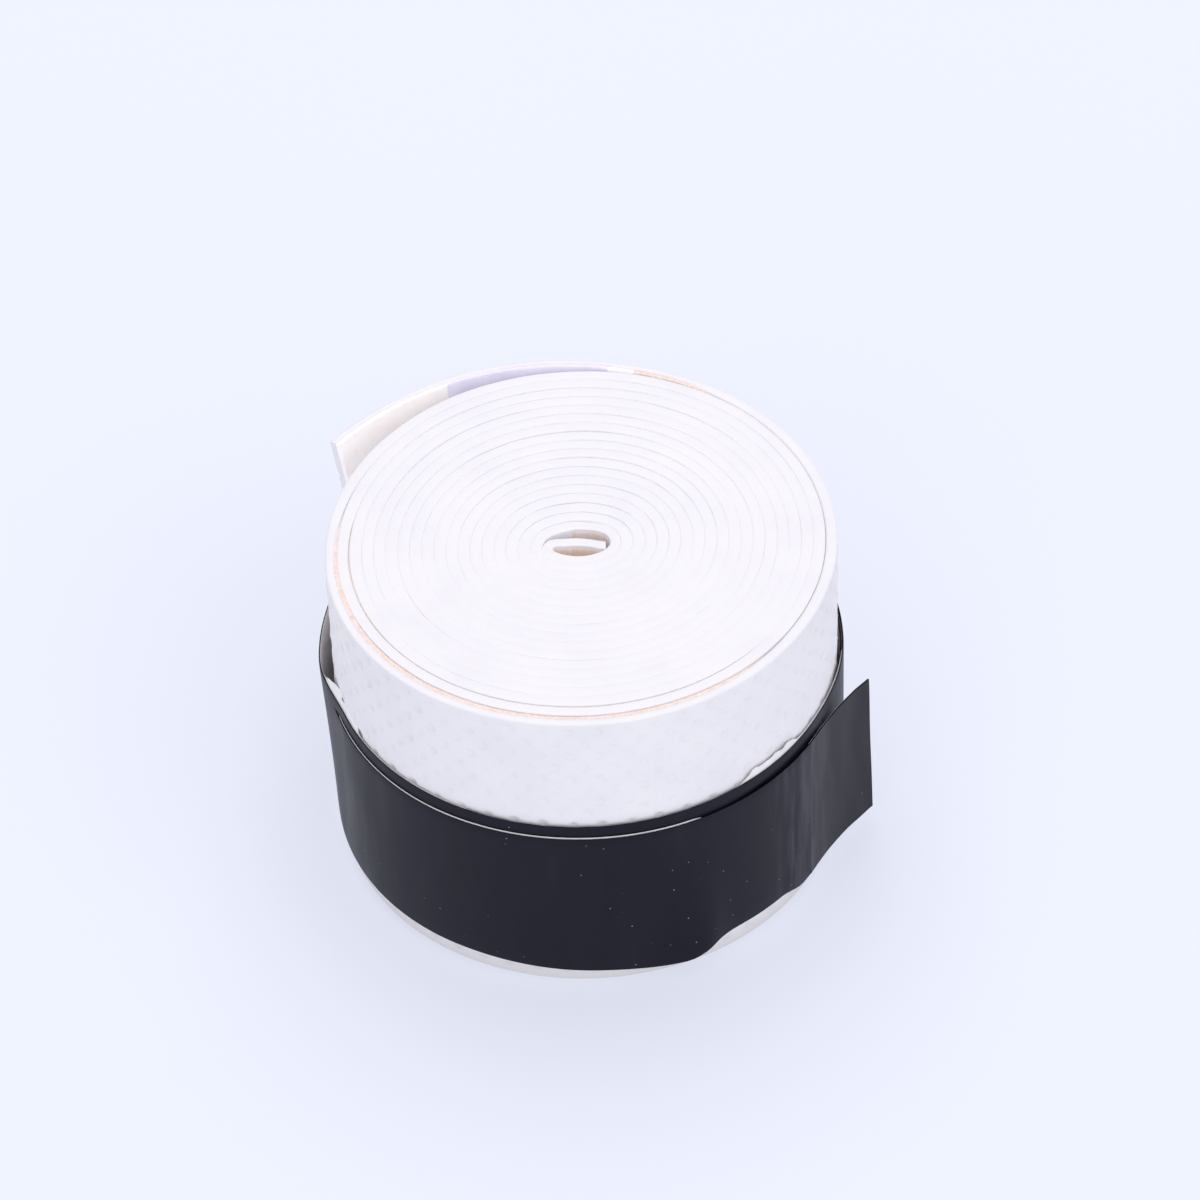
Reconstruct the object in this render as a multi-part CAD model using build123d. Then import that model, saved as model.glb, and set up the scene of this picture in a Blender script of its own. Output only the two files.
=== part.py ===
from build123d import *
import os
from math import acos, atan2, cos, degrees, hypot, radians, sin

# Racket overgrip, wound into a roll on end and held by a finishing tape.
# Millimetres. The roll axis is Z, the roll stands on Z = 0 and the origin lies on its axis.
# The strip winds anticlockwise from the core outwards, seen from above.
# A direction is the angle of the outward normal, in degrees from +X.

# Strip: a polyurethane face outside and a felt backing inside
STRIP_WIDTH = 25.0
FACE_THICKNESS = 0.45
BACKING_THICKNESS = 0.30
TURNS = 19

# Air between neighbouring turns: tight at the two ends of the oval core, looser on its flat sides
END_GAP = 0.04
SIDE_GAP = 0.073

# Core: the strip's inner end lies straight across the middle, then folds back on itself
CORE_LOOP_CENTRE_X = -1.62
CORE_BAND_OFFSET_Y = -0.15
CORE_BAND_LENGTH = 3.2
CORE_LOOP_RADIUS = 0.58
CORE_SIDE_RADIUS = 3.45
CORE_END_RADIUS = 1.25

# Strip tail: leaves the roll at the back and flares outwards above the finishing tape
TAIL_START = 68.0
TAIL_LIFT_END = 78.0
TAIL_PATCH_END = 118.0
TAIL_END = 149.0
TAIL_LIFT_RADIUS = 6.0
TAIL_RETURN_RADIUS = 1.04
FLARE_BASE = 14.6
FLARE_PATCH_SWEEP = 34.0
FLARE_END_SWEEP = 14.0

# Starter patch on the tail's inner side
ADHESIVE_THICKNESS = 0.05
FILM_THICKNESS = 0.03
FILM_GAP = 0.015

# Finishing tape, still on its release liner, wound almost twice round the roll
TAPE_WIDTH = 13.2
TAPE_BASE = 1.1
TAPE_THICKNESS = 0.14
LINER_THICKNESS = 0.08
TAPE_CLEARANCE = 0.12
WRAP_GAP = 0.02
TAPE_START = -5.0
RAMP_START = -32.5
RAMP_SWEEP = 13.0
TAPE_TAIL_DIRECTION = -33.0
TAPE_TAIL_LENGTH = 9.0

LAMINATE = FACE_THICKNESS + BACKING_THICKNESS
END_PITCH = LAMINATE + END_GAP
SIDE_PITCH = LAMINATE + SIDE_GAP
FACE_OUT = (0.0, FACE_THICKNESS)
BACKING_OUT = (-BACKING_THICKNESS, 0.0)


def normal(direction):
    """Unit vector of a direction in degrees."""
    return cos(radians(direction)), sin(radians(direction))


def span_point(span, direction, offset):
    """Point of an arc span, moved outwards by an offset."""
    x, y, radius, _, _ = span
    nx, ny = normal(direction)
    return x + (radius + offset) * nx, y + (radius + offset) * ny


def follow(span, steps):
    """Tangent arcs that continue an arc span, one for each (radius, sweep) step."""
    spans = []
    x, y, radius, _, direction = span
    for new_radius, sweep in steps:
        nx, ny = normal(direction)
        x += (radius - new_radius) * nx
        y += (radius - new_radius) * ny
        radius = new_radius
        spans.append((x, y, radius, direction, direction + sweep))
        direction += sweep
    return spans


def cut(spans, start, end):
    """The part of a chain of spans between two running directions."""
    kept = []
    for x, y, radius, first, last in spans:
        low = max(first, start)
        high = min(last, end)
        if high - low > 1e-6:
            kept.append((x, y, radius, low, high))
    return kept


def grown(spans, offset, turns=0):
    """Spans moved outwards by an offset and onwards by whole turns."""
    return [(x, y, r + offset, a + 360 * turns, b + 360 * turns) for x, y, r, a, b in spans]


def side_edges(spans, offset, z):
    """Edges and end points of one side of a ribbon, with lines where two spans don't meet."""
    edges = []
    last = None
    for span in spans:
        x, y, radius, start, end = span
        first = span_point(span, start, offset)
        if last and hypot(first[0] - last[0], first[1] - last[1]) > 1e-6:
            edges.append(Line((*last, z), (*first, z)))
        edges.append(CenterArc((x, y, z), radius + offset, start, end - start))
        last = span_point(span, end, offset)
    return edges, span_point(spans[0], spans[0][3], offset), last


def ribbon_face(spans, offsets, z, lead=0.0):
    """Flat face between two offsets of a chain, with a straight lead before its first arc."""
    inner, inner_start, inner_end = side_edges(spans, offsets[0], z)
    outer, outer_start, outer_end = side_edges(spans, offsets[1], z)
    edges = inner + outer + [Line((*inner_end, z), (*outer_end, z))]
    if lead:
        nx, ny = normal(spans[0][3])
        inner_lead = (inner_start[0] + lead * ny, inner_start[1] - lead * nx)
        outer_lead = (outer_start[0] + lead * ny, outer_start[1] - lead * nx)
        edges.append(Line((*inner_lead, z), (*inner_start, z)))
        edges.append(Line((*outer_lead, z), (*outer_start, z)))
        inner_start = inner_lead
        outer_start = outer_lead
    edges.append(Line((*inner_start, z), (*outer_start, z)))
    return Face(Wire(edges))


def spiral():
    """Chain of the wound strip: the glue line between face and backing, core to tail."""
    growth = (SIDE_PITCH - END_PITCH) / 0.732
    end_step = END_PITCH + growth
    side_step = END_PITCH - growth
    left_radius = 2 * CORE_END_RADIUS - CORE_LOOP_RADIUS
    back_radius = CORE_SIDE_RADIUS + END_PITCH + CORE_LOOP_RADIUS - CORE_END_RADIUS
    loop_y = CORE_BAND_OFFSET_Y - CORE_LOOP_RADIUS
    spans = [(CORE_LOOP_CENTRE_X, loop_y, CORE_LOOP_RADIUS, 90.0, 180.0)]
    for turn in range(TURNS + 1):
        steps = [
            (CORE_LOOP_RADIUS + turn * end_step, 60.0),
            (CORE_SIDE_RADIUS + turn * side_step, 60.0),
            (CORE_END_RADIUS + turn * end_step, 120.0),
            (back_radius + turn * side_step, 60.0),
            (left_radius + turn * end_step, 60.0),
        ]
        spans += follow(spans[-1], steps)
    return cut(spans, 90.0, TAIL_START + 360 * TURNS)


def tail_levels(wound):
    """Chains of the strip tail at the foot of its flare and at the top edge."""
    radius = wound[-1][2]
    lift = follow(wound[-1], [(radius + TAIL_LIFT_RADIUS, TAIL_LIFT_END - TAIL_START)])
    held = radius - TAIL_RETURN_RADIUS
    patch_sweep = TAIL_PATCH_END - TAIL_LIFT_END
    end_sweep = TAIL_END - TAIL_PATCH_END
    low = lift + follow(lift[0], [(held, patch_sweep), (held, end_sweep)])
    patch_radius = held * patch_sweep / FLARE_PATCH_SWEEP
    end_radius = held * end_sweep / FLARE_END_SWEEP
    high = lift + follow(lift[0], [(patch_radius, FLARE_PATCH_SWEEP), (end_radius, FLARE_END_SWEEP)])
    return low, high


def flared(low, high, offsets):
    """Ribbon solid that stands upright below the flare and leans outwards above it."""
    foot = ribbon_face(low, offsets, 0.0)
    waist = ribbon_face(low, offsets, FLARE_BASE)
    top = ribbon_face(high, offsets, STRIP_WIDTH)
    return extrude(foot, amount=FLARE_BASE, dir=(0, 0, 1)) + loft([waist, top], ruled=True)


def wrap_base(wound, low):
    """One lap round the held roll, from the foot of the tail's step to the end of the tail."""
    lap = wound[-1][4] - 360
    roll = grown(cut(wound, lap - 360, lap + 360), FACE_THICKNESS, -TURNS)
    tail = grown(low, FACE_THICKNESS, -TURNS)
    corner = span_point(tail[-1], TAIL_END, 0.0)
    landing = [s for s in roll if s[3] <= 120.0 + 1e-6 - 360 and s[4] > 120.0 - 360][-1]
    reach = hypot(corner[0] - landing[0], corner[1] - landing[1])
    bearing = degrees(atan2(corner[1] - landing[1], corner[0] - landing[0]))
    touch = bearing + degrees(acos(landing[2] / reach))
    before = cut(roll, touch - 360, TAIL_START)
    step = (corner[0], corner[1], 0.0, TAIL_END, touch)
    return before + tail + [step], touch


def tape_chain(base, touch):
    """Chain of the tape's inner side: first lap, a ramp over its own start, second lap."""
    rise = TAPE_THICKNESS + LINER_THICKNESS + WRAP_GAP
    first = cut(base, TAPE_START, touch) + grown(cut(base, touch - 360, RAMP_START), 0.0, 1)
    up = rise / (2 * (1 - cos(radians(RAMP_SWEEP))))
    down = up * (1 - 2 * cos(radians(RAMP_SWEEP)))
    radius = first[-1][2]
    ramp = follow(first[-1], [(radius + up, RAMP_SWEEP), (radius + down, RAMP_SWEEP)])
    over = RAMP_START + 2 * RAMP_SWEEP
    second = grown(cut(base, over, touch), rise, 1)
    second += grown(cut(base, touch - 360, TAPE_TAIL_DIRECTION), rise, 2)
    return grown(first + ramp + second, TAPE_CLEARANCE)


def tape_wraps(chain, offsets):
    """Wound part of one layer of the finishing tape."""
    face = ribbon_face(chain, offsets, TAPE_BASE)
    return extrude(face, amount=TAPE_WIDTH, dir=(0, 0, 1))


def tape_tail(chain, offsets):
    """Free end of one layer of the finishing tape, straight along its tangent."""
    start = span_point(chain[-1], TAPE_TAIL_DIRECTION, offsets[0])
    depth = offsets[1] - offsets[0]
    plane = Plane(origin=(*start, TAPE_BASE), x_dir=(*normal(TAPE_TAIL_DIRECTION), 0), z_dir=(0, 0, 1))
    block = Box(depth, TAPE_TAIL_LENGTH, TAPE_WIDTH, align=(Align.MIN, Align.MIN, Align.MIN))
    return plane * block


def write(name, shape):
    """Save one sub-part under its node name."""
    export_step(shape, f"parts/{name}.step")
    print(name, "solids", len(shape.solids()), "volume", round(shape.volume, 2), "valid", shape.is_valid)


def main():
    """Build every sub-part of the roll."""
    os.makedirs("parts", exist_ok=True)
    wound = spiral()
    low, high = tail_levels(wound)

    # The wound strip and its free end
    for name, offsets in (("grip_face", FACE_OUT), ("grip_backing", BACKING_OUT)):
        face = ribbon_face(wound, offsets, 0.0, lead=CORE_BAND_LENGTH)
        write(name, extrude(face, amount=STRIP_WIDTH, dir=(0, 0, 1)))
        write(f"{name}_tail", flared(low, high, offsets))

    # The starter patch and its release film
    adhesive_in = -BACKING_THICKNESS - ADHESIVE_THICKNESS
    film_out = adhesive_in - FILM_GAP
    patch = (low[1:2], high[1:2])
    write("starter_adhesive", flared(*patch, (adhesive_in, -BACKING_THICKNESS)))
    write("starter_release_film", flared(*patch, (film_out - FILM_THICKNESS, film_out)))

    # The finishing tape on its liner
    base, touch = wrap_base(wound, low)
    chain = tape_chain(base, touch)
    liner = (0.0, LINER_THICKNESS)
    tape = (LINER_THICKNESS, LINER_THICKNESS + TAPE_THICKNESS)
    write("tape_liner", tape_wraps(chain, liner))
    write("tape_liner_tail", tape_tail(chain, liner))
    write("finishing_tape", tape_wraps(chain, tape))
    write("finishing_tape_tail", tape_tail(chain, tape))
    hinge = span_point(chain[-1], TAPE_TAIL_DIRECTION, tape[1])
    length = sum(radians(s[4] - s[3]) * s[2] for s in wound + low) + CORE_BAND_LENGTH
    print("strip length", round(length, 1), "tape tail hinge", [round(v, 4) for v in hinge])


main()
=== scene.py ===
"""Racket overgrip wound into a roll, with its starter film, finishing tape and studio."""
import logging
import math
from collections.abc import Sequence
from dataclasses import dataclass, field
from enum import Enum

import bmesh
import bpy
import numpy as np
from mathutils import Matrix, Vector


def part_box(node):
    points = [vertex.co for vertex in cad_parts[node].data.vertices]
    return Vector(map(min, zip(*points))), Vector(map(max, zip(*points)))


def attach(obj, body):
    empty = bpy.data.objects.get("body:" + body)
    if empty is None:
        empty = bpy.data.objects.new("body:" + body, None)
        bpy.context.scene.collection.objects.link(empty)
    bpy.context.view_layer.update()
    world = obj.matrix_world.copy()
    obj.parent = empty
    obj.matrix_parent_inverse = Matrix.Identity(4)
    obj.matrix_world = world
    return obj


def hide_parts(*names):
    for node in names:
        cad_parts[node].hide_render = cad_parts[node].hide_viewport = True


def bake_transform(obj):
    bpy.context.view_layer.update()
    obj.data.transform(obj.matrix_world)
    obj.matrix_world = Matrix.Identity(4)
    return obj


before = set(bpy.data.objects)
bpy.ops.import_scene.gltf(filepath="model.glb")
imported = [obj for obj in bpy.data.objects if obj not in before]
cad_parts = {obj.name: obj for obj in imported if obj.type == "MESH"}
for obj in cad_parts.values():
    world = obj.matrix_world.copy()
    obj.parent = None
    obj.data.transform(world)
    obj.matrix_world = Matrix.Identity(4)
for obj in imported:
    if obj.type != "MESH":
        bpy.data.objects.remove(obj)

log = logging.getLogger("grip_roll")
MM = 0.001
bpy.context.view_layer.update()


class Body(str, Enum):
    """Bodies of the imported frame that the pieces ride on."""

    ROLL = "roll"
    FILM = "release_film"
    BAND = "band"
    FREE_END = "band_free_end"


class Slot(str, Enum):
    """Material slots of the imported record."""

    FACE = "grip_face"
    BACKING = "grip_backing"
    ADHESIVE = "adhesive"
    FILM = "release_film"
    TAPE = "finishing_tape"
    LINER = "tape_liner"


def smooth(value: np.ndarray, low: float, high: float) -> np.ndarray:
    """Smooth step from 0 at low to 1 at high."""
    t = np.clip((np.asarray(value, float) - low) / (high - low), 0.0, 1.0)
    return t * t * (3.0 - 2.0 * t)


@dataclass(frozen=True)
class Zone:
    """Stretch of a running value with soft ends, 1 inside it and 0 past its ends."""

    low: float
    high: float
    soft: float

    def on(self, value: np.ndarray) -> np.ndarray:
        """Share of the zone at each value."""
        return smooth(value, self.low - self.soft, self.low) * (1.0 - smooth(value, self.high, self.high + self.soft))


def ripple(value: np.ndarray, seed: int, waves: int = 6) -> np.ndarray:
    """Smooth irregular wave in -1 to 1, a sum of sines with seeded rates and phases.

    Args:
        value: The running coordinate, in units of about one wave.
        seed: Seed of the rates and phases.
        waves: Number of sines.

    Returns:
        The wave at each value.
    """
    rng = np.random.default_rng(seed)
    total = np.zeros_like(np.asarray(value, float))
    for _ in range(waves):
        rate = rng.uniform(0.5, 2.2)
        total = total + np.sin(rate * value * 2.0 * math.pi + rng.uniform(0.0, 6.28))
    return total / waves * 1.6


# ------------------------------------------------------------------ paths in plan


def outward(direction: float) -> np.ndarray:
    """Unit vector at a direction in degrees."""
    return np.array([math.cos(math.radians(direction)), math.sin(math.radians(direction))])


def onward(direction: float) -> np.ndarray:
    """Unit vector along a path whose outward normal has this direction."""
    return np.array([-math.sin(math.radians(direction)), math.cos(math.radians(direction))])


@dataclass
class Arc:
    """Arc of a path in plan, or a sharp turn where its radius is zero."""

    x: float
    y: float
    radius: float
    start: float
    end: float

    def at(self, direction: float) -> np.ndarray:
        """Point of the arc's circle at a direction in degrees."""
        return np.array([self.x, self.y]) + self.radius * outward(direction)

    def follow(self, steps: list[tuple[float, float]]) -> "list[Arc]":
        """Tangent arcs that continue this one.

        Args:
            steps: Radius and sweep in degrees of each arc.

        Returns:
            The new arcs in order.
        """
        arcs = []
        last = self
        for radius, sweep in steps:
            x, y = np.array([last.x, last.y]) + (last.radius - radius) * outward(last.end)
            last = Arc(x, y, radius, last.end, last.end + sweep)
            arcs.append(last)
        return arcs

    def moved(self, offset: float, turns: int) -> "Arc":
        """This arc moved outwards by an offset and onwards by whole turns."""
        return Arc(self.x, self.y, self.radius + offset, self.start + 360 * turns, self.end + 360 * turns)


def cut(arcs: list[Arc], start: float, end: float) -> list[Arc]:
    """The part of a chain of arcs between two running directions."""
    parts = [Arc(a.x, a.y, a.radius, max(a.start, start), min(a.end, end)) for a in arcs]
    return [a for a in parts if a.end - a.start > 1e-6]


@dataclass
class Stations:
    """Sampled path: points, outward normals, running direction and length along it."""

    points: np.ndarray
    normals: np.ndarray
    direction: np.ndarray
    along: np.ndarray


def sample(arcs: list[Arc], step: float, lead: float = 0.0, turn: float = 6.0) -> Stations:
    """Sample a chain of arcs, with straight runs where two arcs don't meet.

    Args:
        arcs: The chain.
        step: Longest step along the path.
        lead: Straight run before the first arc.
        turn: Largest turn between two stations, in degrees.

    Returns:
        The stations of the whole path.
    """
    points: list[np.ndarray] = []
    directions: list[float] = []

    def run(start: np.ndarray, end: np.ndarray, direction: float) -> None:
        """Add a straight run, without its end point."""
        count = max(1, math.ceil(np.linalg.norm(end - start) / step))
        for i in range(count):
            points.append(start + (end - start) * i / count)
            directions.append(direction)

    if lead:
        first = arcs[0].at(arcs[0].start)
        run(first - onward(arcs[0].start) * lead, first, arcs[0].start)
    last = None
    for arc in arcs:
        begin = arc.at(arc.start)
        if last is not None and np.linalg.norm(begin - last) > 1e-7:
            run(last, begin, arc.start)
        sweep = arc.end - arc.start
        count = max(1, math.ceil(max(arc.radius * math.radians(sweep) / step, sweep / turn)))
        for i in range(count):
            direction = arc.start + sweep * i / count
            points.append(arc.at(direction))
            directions.append(direction)
        last = arc.at(arc.end)
    points.append(last)
    directions.append(arcs[-1].end)
    place = np.array(points)
    heading = np.array(directions)
    normals = np.stack([np.cos(np.radians(heading)), np.sin(np.radians(heading))], 1)
    along = np.concatenate([[0.0], np.cumsum(np.linalg.norm(np.diff(place, axis=0), axis=1))])
    return Stations(place, normals, heading, along)


# ------------------------------------------------------------------ meshes


def finish_mesh(name: str, vertices: np.ndarray, faces: list, sharp: float = 50.0) -> bpy.types.Object:
    """Object from vertices and faces, smooth but for edges sharper than an angle.

    Args:
        name: Name of the object.
        vertices: Vertex positions, one row each.
        faces: Vertex indices of each face.
        sharp: Edges that turn by more than this many degrees stay sharp.

    Returns:
        The linked object.
    """
    mesh = bpy.data.meshes.new(name)
    mesh.from_pydata(vertices.tolist(), [], faces)
    mesh.validate()
    mesh.shade_smooth()
    mesh.set_sharp_from_angle(angle=math.radians(sharp))
    made = bpy.data.objects.new(name, mesh)
    bpy.context.scene.collection.objects.link(made)
    return made


def cap(loop: list[int], heights: np.ndarray, crest: int) -> list[list[int]]:
    """Triangles that close the end of a tube.

    Args:
        loop: Vertex indices of the end ring, up one side and down the other.
        heights: Height of each of its points.
        crest: Number of points on the first side.

    Returns:
        The triangles.
    """
    near = list(range(crest))
    far = list(range(len(loop) - 1, crest - 1, -1))
    i = j = 0
    faces = []
    while i < len(near) - 1 or j < len(far) - 1:
        climb = j == len(far) - 1 or (i < len(near) - 1 and heights[near[i + 1]] <= heights[far[j + 1]])
        third = near[i + 1] if climb else far[j + 1]
        faces.append([loop[near[i]], loop[third], loop[far[j]]])
        i, j = (i + 1, j) if climb else (i, j + 1)
    return faces


def tube(name: str, rings: np.ndarray, sharp: float = 50.0, crest: int = 0) -> bpy.types.Object:
    """Closed mesh from rings of points: one ring for each station, joined in order and capped.

    Args:
        name: Name of the object.
        rings: Array of stations by profile points by 3, up one side and down the other.
        sharp: Edges that turn by more than this many degrees stay sharp.
        crest: Number of points on the first side, half of them when it is zero.

    Returns:
        The linked object.
    """
    count, sides, _ = rings.shape
    index = np.arange(count * sides).reshape(count, sides)
    this, following = index[:-1], index[1:]
    quads = np.stack([this, np.roll(this, -1, 1), np.roll(following, -1, 1), following], -1)
    faces = quads.reshape(-1, 4).tolist()
    for end in (0, -1):
        faces += cap(index[end].tolist(), rings[end, :, 2], crest or sides // 2)
    made = finish_mesh(name, rings.reshape(-1, 3), faces, sharp)
    work = bmesh.new()
    work.from_mesh(made.data)
    bmesh.ops.recalc_face_normals(work, faces=work.faces)
    work.to_mesh(made.data)
    work.free()
    return made


def dress(piece: bpy.types.Object, finish: "Finish", body: Body, slot: Slot, *nodes: str) -> None:
    """Give a piece its finish and tie it to the frame.

    Args:
        piece: The piece.
        finish: Its finish.
        body: Body that it rides on.
        slot: Its material slot; not used.
        nodes: CAD nodes that it replaces.
    """
    piece.data.materials.clear()
    piece.data.materials.append(finish.material())
    if nodes:
        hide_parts(*nodes)
    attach(piece, body.value)
    log.info("%s: %d faces on %s", piece.name, len(piece.data.polygons), body.value)


# ------------------------------------------------------------------ finishes

Tree = bpy.types.NodeTree
Node = bpy.types.Node
Socket = bpy.types.NodeSocket
Stops = Sequence[tuple[float, tuple[float, ...]]]


class Finish:
    """Shared helpers of the procedural finishes."""

    name: str = "finish"

    def material(self) -> bpy.types.Material:
        """The material, made once.

        Returns:
            The material with its nodes.
        """
        found = bpy.data.materials.get(self.name)
        if found:
            return found
        made = bpy.data.materials.new(self.name)
        made.use_nodes = True
        self.build(made.node_tree, made.node_tree.nodes["Principled BSDF"])
        return made

    def build(self, tree: Tree, shader: Node) -> None:
        """Fill the node tree of this finish."""
        raise NotImplementedError

    @staticmethod
    def settle(node: Node, values: dict[str, float | tuple[float, ...]]) -> None:
        """Set constants on a node's own sockets."""
        for socket, value in values.items():
            node.inputs[socket].default_value = value

    @staticmethod
    def coordinates(tree: Tree, scale: tuple[float, float, float] = (1.0, 1.0, 1.0)) -> Socket:
        """Object coordinates, stretched by a scale.

        Args:
            tree: Node tree of the material.
            scale: Factor along X, Y and Z.

        Returns:
            The coordinates.
        """
        source = tree.nodes.new("ShaderNodeTexCoord")
        mapping = tree.nodes.new("ShaderNodeMapping")
        mapping.inputs["Scale"].default_value = scale
        tree.links.new(source.outputs["Object"], mapping.inputs["Vector"])
        return mapping.outputs["Vector"]

    @staticmethod
    def noise(tree: Tree, vector: Socket, scale: float, detail: float = 3.0) -> Socket:
        """Noise over the coordinates.

        Args:
            tree: Node tree of the material.
            vector: The coordinates.
            scale: Waves per metre.
            detail: Octaves.

        Returns:
            The noise, 0 to 1.
        """
        node = tree.nodes.new("ShaderNodeTexNoise")
        node.inputs["Scale"].default_value = scale
        node.inputs["Detail"].default_value = detail
        tree.links.new(vector, node.inputs["Vector"])
        return node.outputs["Fac"]

    @staticmethod
    def ramp(tree: Tree, value: Socket, stops: Stops) -> Socket:
        """Colours or greys spread over a value.

        Args:
            tree: Node tree of the material.
            value: The value.
            stops: Place and colour, or one grey, of each stop.

        Returns:
            The colour.
        """
        node = tree.nodes.new("ShaderNodeValToRGB")
        elements = node.color_ramp.elements
        while len(elements) < len(stops):
            elements.new(0.5)
        for element, (place, colour) in zip(elements, stops):
            element.position = place
            element.color = (*(colour if len(colour) == 3 else colour * 3), 1.0)
        tree.links.new(value, node.inputs["Fac"])
        return node.outputs["Color"]

    @staticmethod
    def product(tree: Tree, one: Socket, other: Socket) -> Socket:
        """Product of two values.

        Args:
            tree: Node tree of the material.
            one: First value.
            other: Second value.

        Returns:
            The product.
        """
        node = tree.nodes.new("ShaderNodeMath")
        node.operation = "MULTIPLY"
        tree.links.new(one, node.inputs[0])
        tree.links.new(other, node.inputs[1])
        return node.outputs[0]

    @staticmethod
    def stained(tree: Tree, colour: Socket, stain: tuple[float, float, float], share: Socket) -> Socket:
        """A colour that goes over to a plain stain.

        Args:
            tree: Node tree of the material.
            colour: The colour.
            stain: The stain's colour.
            share: How much of the stain shows, 0 to 1.

        Returns:
            The mixed colour.
        """
        node = tree.nodes.new("ShaderNodeMix")
        node.data_type = "RGBA"
        node.inputs["B"].default_value = (*stain, 1.0)
        tree.links.new(share, node.inputs["Factor"])
        tree.links.new(colour, node.inputs["A"])
        return node.outputs["Result"]

    def coat(self, tree: Tree, shader: Node, value: Socket, stops: Stops) -> None:
        """Spread the base colour over a value by its stops."""
        tree.links.new(self.ramp(tree, value, stops), shader.inputs["Base Color"])

    @staticmethod
    def bump(tree: Tree, shader: Node, height: Socket, strength: float, distance: float) -> None:
        """Bump on a shader's normal.

        Args:
            tree: Node tree of the material.
            shader: The shader.
            height: Height of the surface, 0 to 1.
            strength: Strength of the effect.
            distance: Depth in metres.
        """
        node = tree.nodes.new("ShaderNodeBump")
        node.inputs["Strength"].default_value = strength
        node.inputs["Distance"].default_value = distance
        tree.links.new(height, node.inputs["Height"])
        tree.links.new(node.outputs["Normal"], shader.inputs["Normal"])


@dataclass(frozen=True)
class TackyFoam(Finish):
    """White foamed polyurethane: fine grain, faint warm and cool patches and painted shade along its foot."""

    name: str = "tacky_foam_white"
    white: Stops = ((0.3, (0.84, 0.828, 0.845)), (0.55, (0.87, 0.858, 0.87)), (0.75, (0.885, 0.868, 0.865)))
    # Painted shade along the foot: its colour, the height where it fades out and its strength at the bottom.
    foot_shade: tuple[float, float, float] = (0.66, 0.63, 0.60)
    foot_shade_height: float = 1.7 * MM
    foot_shade_share: float = 0.85

    def build(self, tree: Tree, shader: Node) -> None:
        """Soft white with a satin skin."""
        where = self.coordinates(tree)
        colour = self.ramp(tree, self.noise(tree, where, 260.0, 4.0), self.white)
        # Painted shade: the foam turns darker and warmer towards its bottom edge by the floor.
        parts = tree.nodes.new("ShaderNodeSeparateXYZ")
        tree.links.new(where, parts.inputs["Vector"])
        foot = tree.nodes.new("ShaderNodeMapRange")
        self.settle(foot, {"From Max": self.foot_shade_height, "To Min": self.foot_shade_share, "To Max": 0.0})
        tree.links.new(parts.outputs["Z"], foot.inputs["Value"])
        colour = self.stained(tree, colour, self.foot_shade, foot.outputs["Result"])
        tree.links.new(colour, shader.inputs["Base Color"])
        skin = self.ramp(tree, self.noise(tree, where, 900.0), [(0.3, (0.42,)), (0.7, (0.58,))])
        tree.links.new(skin, shader.inputs["Roughness"])
        self.settle(shader, {"Specular IOR Level": 0.35, "Sheen Weight": 0.1, "Sheen Roughness": 0.5})
        self.bump(tree, shader, self.noise(tree, where, 5200.0, 4.0), 0.35, 0.00004)


@dataclass(frozen=True)
class Felt(Finish):
    """Non-woven backing: short tan fibres, matte."""

    name: str = "felt_backing"
    fibres: Stops = ((0.3, (0.84, 0.67, 0.56)), (0.5, (0.90, 0.76, 0.67)), (0.72, (0.93, 0.84, 0.78)))

    def build(self, tree: Tree, shader: Node) -> None:
        """Mottled peach and cream fibres."""
        strands = self.noise(tree, self.coordinates(tree, (1.0, 1.0, 0.35)), 4200.0, 5.0)
        self.coat(tree, shader, strands, self.fibres)
        self.settle(shader, {"Roughness": 0.92, "Sheen Weight": 0.15, "Sheen Roughness": 0.6})
        self.bump(tree, shader, self.noise(tree, self.coordinates(tree), 3000.0, 5.0), 0.8, 0.00008)


@dataclass(frozen=True)
class PaintedLightFelt(Finish):
    """Lighter copy of the backing for the open tail, which is painted light: cream, with short faint fibres and a
    faint glow.
    """

    name: str = "felt_backing_painted_light"
    # Painted light: paler stops than the felt in the coil, standing for the tail's lit side.
    fibres: Stops = ((0.3, (0.90, 0.83, 0.80)), (0.5, (0.94, 0.90, 0.88)), (0.72, (0.96, 0.95, 0.94)))

    def build(self, tree: Tree, shader: Node) -> None:
        """Cream with faint pink fibres."""
        strands = self.noise(tree, self.coordinates(tree, (1.0, 1.0, 0.5)), 2600.0, 5.0)
        self.coat(tree, shader, strands, self.fibres)
        self.settle(shader, {"Roughness": 0.9, "Sheen Weight": 0.15, "Sheen Roughness": 0.6})
        # Painted light: a faint glow stands for light coming through the thin white strip.
        self.settle(shader, {"Emission Color": (0.98, 0.92, 0.89, 1.0), "Emission Strength": 0.14})
        self.bump(tree, shader, strands, 0.5, 0.00006)


@dataclass(frozen=True)
class GlueSkin(Finish):
    """Thin clear glue with trapped air, slightly amber."""

    name: str = "glue_skin"

    def build(self, tree: Tree, shader: Node) -> None:
        """Glossy pale amber."""
        air = self.noise(tree, self.coordinates(tree), 1400.0)
        self.coat(tree, shader, air, [(0.35, (0.90, 0.86, 0.82)), (0.65, (0.95, 0.93, 0.91))])
        shader.inputs["Roughness"].default_value = 0.22
        self.bump(tree, shader, air, 0.4, 0.00005)


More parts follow.
